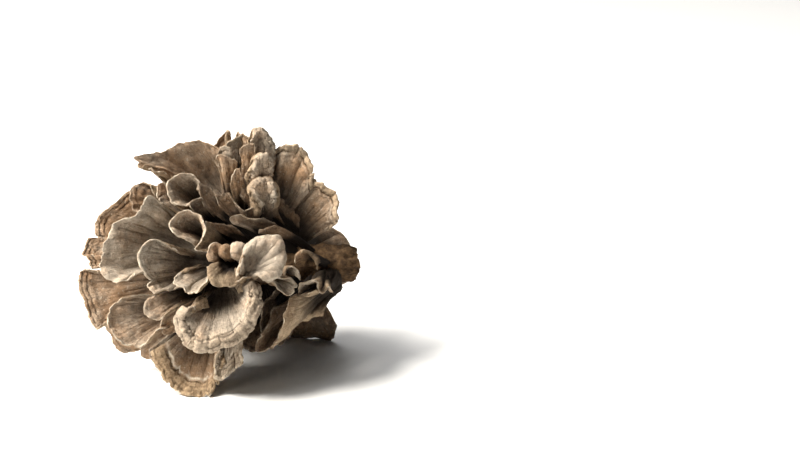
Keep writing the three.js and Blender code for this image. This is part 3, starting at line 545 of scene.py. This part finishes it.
zonesShown = (2.3, 3.3)           # the growth steps fade after so many, counted from the rim
ribShare = 0.93                   # how long a bent rib is beside the two straight legs it leans on
stemShare = 0.45                  # how far along its ribs the branch has thinned into the cap
sideSquareness = (2.0, 22.0)      # how squarely a cap's sides end, at the root and half way out
furrowRing = 4.8                  # radius, in noise cells, of the ring that furrows are read from
mostNoise, allNoise = (0.3, 0.7), (0.25, 0.75)     # between which values a noise mostly lies
# between which noise values splits, cracks and the crack along a belt set in
splitStarts, crackStarts, beltCrackStarts = (0.46, 0.58), (0.4, 0.5), (0.4, 0.55)


# A cap is a fan of ribs. A grid gives every rib its place across the cap (u) and every
# point its place along its rib (v), and the curve of the rim gives the ribs their ends.
def capTree(flesh):
    tree, given, add = newTree("growCap", looks, Root="Vector", Bend="Vector", Columns="Int",
                               Rows="Int")

    # the grid, with more rows near the rim
    grid = add("GeometryNodeMeshGrid", 1.0, 1.0, given["Columns"], given["Rows"])
    at = add("parts", add("here"))
    held = add("capture", grid)
    held.capture_items.new("FLOAT", "u")
    held.capture_items.new("FLOAT", "v")
    tree.links.new(add("+", at.outputs["X"], 0.5).outputs[0], held.inputs["u"])
    left = add("power", add("-", 0.5, at.outputs["Y"]), body["rowCrowding"])
    tree.links.new(add("-", 1.0, left).outputs[0], held.inputs["v"])
    u, v = held.outputs["u"], held.outputs["v"]

    # where the ribs start and end
    rim = given["Geometry"]
    end, rimStart, rimMiddle, rimStop = [
        add("GeometryNodeSampleCurve", rim, None, share, mode="FACTOR").outputs["Position"]
        for share in (u, 0.0, 0.5, 1.0)]
    ahead = add("unit", add("vector-", rimMiddle, given["Root"]))
    across = add("vector-", rimStop, rimStart)
    across = add("unit", add("vector-", across, add("scale", ahead, add("dot", across, ahead))))
    offCentre = add("*", add("-", u, 0.5), given["Stem"])
    start = add("vector+", given["Root"], add("scale", across, offCentre))
    centre = add("GeometryNodeAttributeStatistic", rim, None, add("here"), data_type="FLOAT_VECTOR")
    fanned = add("scale", add("vector-", end, centre.outputs["Mean"]), given["Spread"])
    half = add("vector+", given["Bend"], fanned)

    # sizes in mm: round the rim, along a rib, and from a point to the rim
    legs = add("+", add("distance", half, start), add("distance", end, half))
    ribLength = add("*", legs, ribShare)
    rimMm = add("*", add("-", 1.0, v), ribLength)
    vMm = add("*", v, ribLength)
    uMm = add("*", u, add("GeometryNodeCurveLength", rim))
    walk = add("+", uMm, add("*", given["Seed"], relief["seedStep"]))

    # the rim is lobed, jagged and torn in places, and a belt is split across
    lobe = add("spread", add("noise1D", add("/", walk, relief["lobe"]), 1.0, 2.0), *mostNoise)
    jag = add("spread", add("noise1D", add("/", walk, relief["jag"]), 1.0, 3.0), *mostNoise)
    tearWalk = add("/", walk, given["Tear Gap"])
    tear = add("ShaderNodeTexVoronoi", tearWalk, 1.0, voronoi_dimensions="1D")
    tearAway = add("*", tear.outputs["Distance"], given["Tear Gap"])
    tearSize = add("power", add("parts", tear.outputs["Color"]).outputs["X"], 1.6)
    tearAt = add("*", add("smooth", tearAway, *relief["tearSide"], 1.0, 0.0), tearSize)
    hasBand = add(">", given["Band"], 0.1)
    splitWalk = add("/", walk, relief["split"])
    split = add("ShaderNodeTexVoronoi", splitWalk, 1.0, voronoi_dimensions="1D",
                feature="DISTANCE_TO_EDGE")
    splitAt = add("spread", add("*", split, relief["split"]), *relief["splitSide"], 1.0, 0.0)
    splitOn = add("spread", add("noise1D", splitWalk, 1.0, 1.0), *splitStarts)
    splitAt = add("*", add("*", splitAt, splitOn), hasBand)
    cut = add("*", lobe, given["Lobes"])
    for depth, amount in ((jag, given["Jag"]), (tearAt, given["Tears"]),
                          (splitAt, relief["splitDepth"])):
        cut = add("+", cut, add("*", depth, amount))
    reach = add("*", v, add("-", 1.0, add("/", cut, ribLength)))

    # a rib is a curve from start to end that leans towards half
    rib = add("lean", reach, add("lean", reach, start, half), add("lean", reach, half, end))
    fan = add("move", held.outputs["Geometry"], None, rib)

    # it dries into ruffles and folds, and the rim rolls
    facing = add("GeometryNodeInputNormal").outputs["Normal"]
    here = add("here")
    ruffle = add("noise1D", add("/", walk, given["Ruffle Length"]), 1.0, 1.0)
    ruffle = add("*", add("stretch", ruffle, *allNoise, -1.0, 1.0), add("power", v, 2.5))
    crinkleAt = add("xyz", add("/", walk, relief["crinkle"]), add("/", rimMm, relief["crinkleRun"]),
                    given["Seed"])
    crinkle = add("stretch", add("noise", crinkleAt, 1.0, 2.0, 0.5), *allNoise, -1.0, 1.0)
    crinkle = add("*", crinkle, add("spread", rimMm, *relief["crinkleFrom"], 1.0, 0.3))
    foldAt = add("xyz", add("/", walk, given["Fold Width"]), add("/", vMm, relief["foldRun"]),
                 given["Seed"])
    fold = add("stretch", add("noise", foldAt, 1.0, 2.0, 0.55), *allNoise, -1.0, 1.0)
    fold = add("*", fold, add("spread", rimMm, *relief["foldFrom"], 0.4, 1.0))
    lump = add("noise4D", add("scale", here, 1 / relief["lump"]), given["Seed"], 1.0, 2.0)
    rise = add("stretch", lump, 0.0, 1.0, -relief["lumpRise"], relief["lumpRise"])
    roll = add("-", 1.0, add("/", rimMm, given["Roll Width"]), use_clamp=True)
    for wave, height in ((ruffle, given["Ruffle"]), (crinkle, given["Crinkle"]),
                         (fold, given["Folds"]), (add("power", roll, 2.0), given["Roll"])):
        rise = add("+", rise, add("*", wave, height))
    fan = add("move", fan, None, None, add("scale", facing, rise))

    # flesh thickness, rounded off at the rim, at both sides and at the root
    thick = add("between", add("smooth", v, 0.0, stemShare), given["Stem"], given["Flesh"])
    thick = add("between", add("spread", rimMm, *relief["thinFrom"]), thick, given["Edge"])
    side = add("abs", add("-", add("*", u, 2.0), 1.0))
    side = add("power", side, add("spread", v, 0.0, 0.5, *sideSquareness))
    rimAway = add("-", 1.0, add("/", rimMm, add("*", thick, 0.6)), use_clamp=True)
    rootAway = add("-", 1.0, add("/", vMm, relief["rootRound"]), use_clamp=True)
    rounding = 1.0
    for gone in (side, add("power", rimAway, 2.0), add("power", rootAway, 2.0)):
        kept = add("-", 0.9999, gone, use_clamp=True)
        rounding = add("*", rounding, add("root", kept))
    halfThick = add("*", add("*", thick, 0.5), rounding)

    # growth steps that follow the rim, opened here and there into cracks
    sway = add("noise1D", add("/", walk, relief["zoneSway"]), 1.0, 1.0)
    waver = add("noise1D", add("/", walk, relief["zoneWaver"]), 1.0, 2.0)
    warp = add("*+", sway, relief["swayDepth"], add("*", waver, relief["waverDepth"]))
    zoneAt = add("/", add("+", rimMm, warp), given["Zone"])
    saw = add("fraction", zoneAt)
    zoneFade = add("spread", add("/", rimMm, given["Zone"]), *zonesShown, 1.0, 0.0)
    terrace = add("*", add("*", add("power", saw, 2.0), given["Terraces"]), zoneFade)
    crackOn = add("xyz", add("/", walk, relief["crackRun"]), add("floor", zoneAt), given["Seed"])
    crackOn = add("*", add("spread", add("noise", crackOn, 1.0, 1.0), *crackStarts), zoneFade)
    crack = add("spread", add("*", saw, given["Zone"]), *relief["crackSide"], 1.0, 0.0)
    crack = add("*", add("*", crack, crackOn), given["Cracks"])

    # the crusty belt along some rims: raised, grainy, and split across
    beltIn = add("-", given["Band"], add("+", rimMm, add("-", waver, 0.5)))
    belt = add("*", add("smooth", beltIn, *relief["beltStart"]), hasBand)
    beltOn = add("noise1D", add("/", walk, relief["lobe"]), 1.0, 2.0)
    beltOn = add("*", add("spread", beltOn, *beltCrackStarts, 0.35, 1.0), hasBand)
    beltCrack = add("*", add("spread", add("abs", beltIn), *relief["beltSide"], 1.0, 0.0), beltOn)
    ring = add("smooth", add("abs", add("+", beltIn, relief["ringIn"])), *relief["ringSide"])
    ring = add("*", ring, beltOn)
    cracked = add("max", add("max", crack, beltCrack), add("*", splitAt, belt))
    grain = add("noise4D", add("scale", here, 1 / relief["grain"]), given["Seed"], 1.0, 3.0, 0.65)
    grain = add("stretch", grain, *mostNoise, -relief["grainRise"], relief["grainRise"])
    raised = add("*", belt, given["Band Rise"])
    for part in (terrace, add("*", grain, add("spread", belt, 0.0, 1.0, 0.25, 1.0))):
        raised = add("+", raised, part)
    raised = add("*", raised, rounding)
    opened = add("min", add("*", cracked, 0.9), add("*", halfThick, 0.8))

    # both skins, joined where the flesh has no thickness left
    skins = []
    for way in (1.0, -1.0):
        lift = add("*", halfThick, way)
        if way > 0:
            lift = add("-", add("+", halfThick, raised), opened)
        skin = add("move", fan, None, None, add("scale", facing, lift))
        if way < 0:
            skin = add("GeometryNodeFlipFaces", skin)
        look = add("xyz", way / 2 + 0.5, given["Tone"], given["Seed"])
        skins.append(add("store", skin, None, "look", look))
    cap = add("GeometryNodeJoinGeometry", skins[0])
    tree.links.new(skins[1].outputs[0], cap.inputs[0])
    step = add("between", zoneFade, 0.5, saw)
    for name, parts in (("spot", (walk, vMm, rimMm)),
                        ("trim", (given["Pale"], given["Bloom"], step)),
                        ("marks", (cracked, belt, ring))):
        cap = add("store", cap, None, name, add("xyz", *parts))
    cap = add("GeometryNodeMergeByDistance", cap, None, body["weld"])

    # nothing goes below the floor, and the mesh comes out in metres
    at = add("parts", here).outputs
    placed = add("xyz", at["X"], at["Y"], add("max", at["Z"], 0.0))
    finishTree(add, cap, placed, flesh)
    return tree


# A limb is a tube along its line, knobbly and furrowed lengthways
def limbTree(flesh):
    tree, given, add = newTree("growLimb", branch)
    line = add("GeometryNodeResampleCurve", given["Geometry"], None, body["limbRings"])
    hoop = add("GeometryNodeCurvePrimitiveCircle", body["limbSides"], 1.0)
    measured = []
    for curve, name in ((line, "Length"), (hoop, "Factor")):
        held = add("capture", curve)
        held.capture_items.new("FLOAT", name)
        tree.links.new(add("GeometryNodeSplineParameter").outputs[name], held.inputs[name])
        measured.append(held.outputs)
    (line, length), (hoop, factor) = [(held[0], held[1]) for held in measured]
    tube = add("GeometryNodeCurveToMesh", line, hoop, add("GeometryNodeInputRadius"), True)
    here = add("here")
    knob = add("noise4D", add("scale", here, 1 / relief["knob"]), given["Seed"], 1.0, 5.0, 0.55)
    knob = add("*", add("stretch", knob, *mostNoise, -1.0, 1.0), given["Knobs"])
    turn = add("*", factor, math.tau)
    furrowAt = add("xyz", add("*", add("cosine", turn), furrowRing),
                   add("*", add("sine", turn), furrowRing), add("/", length, relief["furrowRun"]))
    furrow = add("stretch", add("noise", furrowAt, 1.0, 3.0, 0.6), *mostNoise, -1.0, 1.0)
    rise = add("+", knob, add("*", furrow, given["Furrows"]))
    tube = add("move", tube, None, None, add("scale", add("GeometryNodeInputNormal"), rise))
    for name, parts in (("spot", (add("*", turn, relief["limbRadius"]), length, given["Rim"])),
                        ("look", (1.0, given["Tone"], given["Seed"])),
                        ("trim", (0.0, given["Bloom"], 0.5))):
        tube = add("store", tube, None, name, add("xyz", *parts))
    finishTree(add, tube, here, flesh)
    return tree


# From mm to metres, and the ending that every tree has
def finishTree(add, grown, placed, flesh):
    grown = add("move", grown, None, add("scale", placed, 0.001))
    grown = add("GeometryNodeRealizeInstances", grown)
    add("NodeGroupOutput", add("GeometryNodeSetMaterial", grown, None, flesh))


# From an sRGB hex value to the linear colour that nodes and lamps take
def linear(hexColour):
    parts = [int(hexColour[k:k + 2], 16) / 255 for k in (1, 3, 5)]
    return [p / 12.92 if p <= 0.04045 else ((p + 0.055) / 1.055) ** 2.4 for p in parts] + [1.0]


def newMaterial(name):
    made = bpy.data.materials.new(name)
    made.use_nodes = True
    made.node_tree.nodes.clear()
    return made, made.node_tree, partial(addNode, made.node_tree)


# How large the marks on the flesh are, in mm, and the noise scale that makes them that size.
# Pores are really 0.3 mm apart and dust is finer than 0.1 mm: they are drawn as coarse as
# they need to be to show.
markSize = {
    "blotch": 11, "bark": 3, "stain": 2.4, "crust": 1.4, "fleck": 1.3, "pore": 0.6, "dust": 0.55,
}
perMetre = {mark: 1000 / size for mark, size in markSize.items()}

# The rest of what is drawn on the flesh, in mm
drawn = {
    "fibreGap": 0.7, "fibreRun": 6.2,      # how far apart and how long the fibres are
    "bloomFrom": (5, 0.5),                 # how far from the rim the bloom starts and is full
    "edgeLine": (0.5, 0.15),               # the same for the pale line on the very edge
    "edgeBreaks": 0.22,                    # how often that line may break, per mm
    "bump": 1,                             # depth of the fine relief
}


# Maitake flesh, air-dried: a matt fibrous skin, greyer where the caps were open to the light,
# with a pale bloom and growth zones along the rims, cream flesh on torn edges, and painted
# shade towards the crown and in the cracks.
def driedFlesh():
    made, tree, add = newMaterial("airDriedMaitakeFlesh")
    held = {}
    for name in ("spot", "look", "trim", "marks"):
        stored = add("ShaderNodeAttribute", attribute_name=name)
        held[name] = add("parts", stored.outputs["Vector"]).outputs
    walk, vMm, rimMm = held["spot"]
    upper, tone, seed = held["look"]
    pale, bloomOrPaintedShade, step = held["trim"]
    cracked, belt, ring = held["marks"]
    here = add("ShaderNodeTexCoord").outputs["Object"]

    # brown to grey by cap, blotched over centimetres
    blotch = add("noise", here, perMetre["blotch"], 4.0, 0.6)
    toneAt = add("*", add("-", blotch, 0.5), 2.6)
    toneAt = add("+", toneAt, tone, use_clamp=True)
    cap = add("mix", toneAt, linear("#8e7257"), linear("#938676"))

    # fibres run along the ribs, about 0.7 mm apart
    fibreAt = add("xyz", add("/", walk, drawn["fibreGap"]), add("/", vMm, drawn["fibreRun"]), seed)
    fibre = add("noise", fibreAt, 1.0, 4.0, 0.65)
    stain = add("noise", here, perMetre["stain"], 4.0, 0.65)
    dust = add("noise", here, perMetre["dust"], 4.0, 0.6)
    shade = add("spread", step, 0.0, 1.0, 0.86, 1.14)
    for mark, darkest, palest in ((fibre, 0.8, 1.17), (stain, 0.68, 1.3), (dust, 0.84, 1.16)):
        shade = add("*", shade, add("spread", mark, *mostNoise, darkest, palest))
    cap = add("mix", 1.0, cap, add("grey", shade, shade, shade), blend_type="MULTIPLY")

    # scattered flecks, dark where the skin is bruised and pale where it is rubbed
    fleck = add("noise", here, perMetre["fleck"], 2.0, 0.5)
    cap = add("mix", add("spread", fleck, 0.62, 0.7, 0.0, 0.5), cap, linear("#4b3b2b"))
    cap = add("mix", add("spread", fleck, 0.38, 0.3, 0.0, 0.4), cap, linear("#c6baa6"))

    # a pale bloom towards the rim, and over the whole of the palest caps
    bloom = add("smooth", rimMm, *drawn["bloomFrom"], 0.0, 0.42)
    bloom = add("*", bloom, add("spread", tone, 0.1, 0.8, 0.35, 1.0))
    bloom = add("max", bloom, add("*", bloomOrPaintedShade, 0.75))
    bloom = add("*", bloom, add("spread", blotch, 0.4, 0.6, 0.5, 1.0))
    cap = add("mix", bloom, cap, linear("#b9ad9c"))

    # the crusty belt is dusty and speckled
    speck = add("noise", here, perMetre["crust"], 5.0, 0.65)
    crustDark = add("mix", tone, linear("#6f5a42"), linear("#74675a"))
    crustPale = add("mix", tone, linear("#ab9475"), linear("#ada08e"))
    crust = add("mix", add("spread", speck, 0.34, 0.64), crustDark, crustPale)
    cap = add("mix", add("*", belt, 0.75), cap, crust)

    # the under side: cream to ochre, finely pored
    pores = add("ShaderNodeTexVoronoi", here, perMetre["pore"])
    under = add("mix", add("spread", blotch, 0.35, 0.65), linear("#75614c"), linear("#a08c72"))
    pored = add("*", add("spread", pores.outputs["Distance"], 0.1, 0.6, 0.8, 1.08), shade)
    under = add("mix", 0.85, under, add("grey", pored, pored, pored), blend_type="MULTIPLY")
    colour = add("mix", upper, under, cap)

    # painted shade: towards the crown, deep among the caps, everything is darkened nearly to black;
    # a pale bloom lessens it, and a bloom below 0 darkens the whole cap at least that much
    share = add("/", vMm, add("+", vMm, rimMm))
    depth = add("smooth", share, 0.88, 0.36, 0.0, 0.96)
    depth = add("max", add("*", depth, add("-", 1.0, bloomOrPaintedShade)), add("*", bloomOrPaintedShade, -1.0))
    colour = add("mix", depth, colour, linear("#1b130c"))

    # a pale line of bare flesh on the very edge and inside the belt, broken here and there
    edge = add("smooth", rimMm, *drawn["edgeLine"])
    broken = add("noise1D", add("*", walk, drawn["edgeBreaks"]), 1.0, 3.0)
    edge = add("*", edge, add("spread", broken, 0.44, 0.64, 0.0, 0.95))
    edge = add("*", add("max", edge, ring), add("*", pale, 0.85))
    colour = add("mix", edge, colour, linear("#cfc3af"))

    # painted shade: cracks are darkened inside
    colour = add("mix", add("spread", cracked, 0.25, 0.9, 0.0, 0.85), colour, linear("#2c1f14"))

    # the stump: rough, ochre and dark brown
    isStump = add("<", tone, -0.5)
    barkNoise = add("noise", here, perMetre["bark"], 6.0, 0.7)
    bark = add("mix", add("spread", barkNoise, 0.38, 0.66), linear("#332415"), linear("#6a5238"))
    colour = add("mix", isStump, colour, bark)

    # fine relief: fibres, stains and a dusty grain
    bumps = add("*+", fibre, 0.6, add("*", dust, 0.45))
    bumps = add("*+", stain, 0.7, bumps)
    bump = add("ShaderNodeBump", 1.0, 0.001 * drawn["bump"], None, bumps)
    skin = add("ShaderNodeBsdfPrincipled", colour)
    tree.links.new(bump.outputs[0], skin.inputs["Normal"])
    skin.inputs["Roughness"].default_value = 0.84
    skin.inputs["IOR"].default_value = 1.4
    skin.inputs["Specular IOR Level"].default_value = 0.3
    add("ShaderNodeOutputMaterial", skin)
    return made


flesh = driedFlesh()
capGrower, limbGrower = capTree(flesh), limbTree(flesh)
print("trees built:", len(capGrower.nodes), "and", len(limbGrower.nodes), "nodes")


def growLimb(name, limb, seed):
    inputs = {label(key): float({**branch, **limb}[key]) for key in branch}
    line = curveThrough(name, limb["line"], limb["radii"])
    return grow(line, limbGrower, {**inputs, "Seed": float(seed)})


def growCap(name, cap, seed):
    inputs = {label(key): float({**looks, **cap}[key]) for key in looks}
    points = [place(p) for p in cap["rim"]]
    rimLength = sum((b - a).length for a, b in zip(points, points[1:]))
    ribLength = (points[len(points) // 2] - place(cap["root"])).length
    line = curveThrough(name, cap["rim"], torn=cap.get("torn", False))
    return grow(line, capGrower, {
        **inputs, "Root": place(cap["root"]), "Bend": place(cap["bend"]), "Seed": float(seed),
        "Columns": max(body["fewestColumns"], round(rimLength / body["columnStep"])),
        "Rows": max(body["fewestRows"], round(ribLength / body["rowStep"])),
    })


pieces = ("heart", "middleFans", "lowerFans", "leftFans", "rearFans", "crown")
grown = {piece: [] for piece in pieces}
for seed, (name, limb) in enumerate(limbs.items()):
    grown["heart"].append(growLimb(name, limb, seed))
allCaps = [(piece, name, {**shared, **cap}) for piece, shared, caps in capGroups
           for name, cap in caps.items()]
for seed, (piece, name, cap) in enumerate(allCaps, 1):
    grown[piece].append(growCap(name, cap, seed))
print("grown:", len(limbs), "limbs and", len(allCaps), "caps")

# The limbs and caps, each a closed skin, are joined into a few pieces
for pieceName, meshes in grown.items():
    parts = [bpy.data.objects.new(pieceName, mesh) for mesh in meshes]
    for part in parts:
        bpy.context.collection.objects.link(part)
    piece = parts[0]
    with bpy.context.temp_override(active_object=piece, object=piece, selected_objects=parts,
                                   selected_editable_objects=parts):
        bpy.ops.object.join()
    for face in piece.data.polygons:
        face.use_smooth = True
    piece.data.calc_loop_triangles()
    print(pieceName, "joined:", len(piece.data.loop_triangles), "triangles")
    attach(piece, "root")
    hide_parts("maitake")

# Floor, light and camera, in metres
stage = {
    "floorSize": 6.0,
    "paperCloud": 2.5,     # in mm; paper fibres are far too fine to show, so their clouds are drawn
    "target": (0.0755, 0.002, 0.062), "distance": 0.787, "elevation": 18, "lens": 85, "sensor": 36,
    # where a lamp stands, how wide it is, its power and its colour; all face the mushroom
    "lamps": {
        "keySoftbox": ((-0.6, -0.1, 0.7), 0.5, 31, "#fffaf2"),
        "frontSoftbox": ((-0.5, -0.8, 0.45), 0.5, 1.4, "#fff6ea"),
    },
    "lampTarget": (0, 0, 0.05),
    "sunWay": (0.35, -0.15, -0.9), "sunStrength": 1.8, "sunAngle": 1.1, "worldStrength": 0.04,
}


# Paper from a roll, pressed smooth: matt, with a barely visible cloudiness
def floorPaper():
    made, tree, add = newMaterial("seamlessWhitePaper")
    here = add("ShaderNodeTexCoord").outputs["Object"]
    cloud = add("noise", here, 1000 / stage["paperCloud"], 3.0)
    tint = add("mix", cloud, linear("#f2f2f1"), linear("#f6f6f5"))
    paper = add("ShaderNodeBsdfPrincipled", tint)
    paper.inputs["Roughness"].default_value = 0.7
    add("ShaderNodeOutputMaterial", paper)
    return made


bpy.ops.mesh.primitive_plane_add(size=stage["floorSize"])
floor = bpy.context.object
floor.name = "floor"
floor.data.materials.append(floorPaper())


# Puts a lamp or a camera in the scene, looking the way it is given
def setUp(name, data, spot, way):
    made = bpy.data.objects.new(name, data)
    made.location = spot
    made.rotation_euler = Vector(way).to_track_quat("-Z", "Y").to_euler()
    bpy.context.collection.objects.link(made)
    return made


for name, (spot, size, power, colour) in stage["lamps"].items():
    lamp = bpy.data.lights.new(name, "AREA")
    lamp.shape, lamp.size, lamp.energy = "DISK", size, power
    lamp.color = linear(colour)[:3]
    setUp(name, lamp, spot, Vector(stage["lampTarget"]) - Vector(spot))

sun = bpy.data.lights.new("overheadSun", "SUN")
sun.energy, sun.angle = stage["sunStrength"], stage["sunAngle"]
setUp("overheadSun", sun, (0, 0, 0), stage["sunWay"])

world = bpy.data.worlds.new("studio")
bpy.context.scene.world = world
world.use_nodes = True
world.node_tree.nodes["Background"].inputs["Color"].default_value = linear("#ffffff")
world.node_tree.nodes["Background"].inputs["Strength"].default_value = stage["worldStrength"]

camera = bpy.data.cameras.new("camera")
camera.lens, camera.sensor_width = stage["lens"], stage["sensor"]
tilt = math.radians(stage["elevation"])
away = Vector((0, -math.cos(tilt), math.sin(tilt))) * stage["distance"]
bpy.context.scene.camera = setUp("camera", camera, Vector(stage["target"]) + away, -away)
bpy.context.scene.view_settings.view_transform = "Standard"
print("stage set")
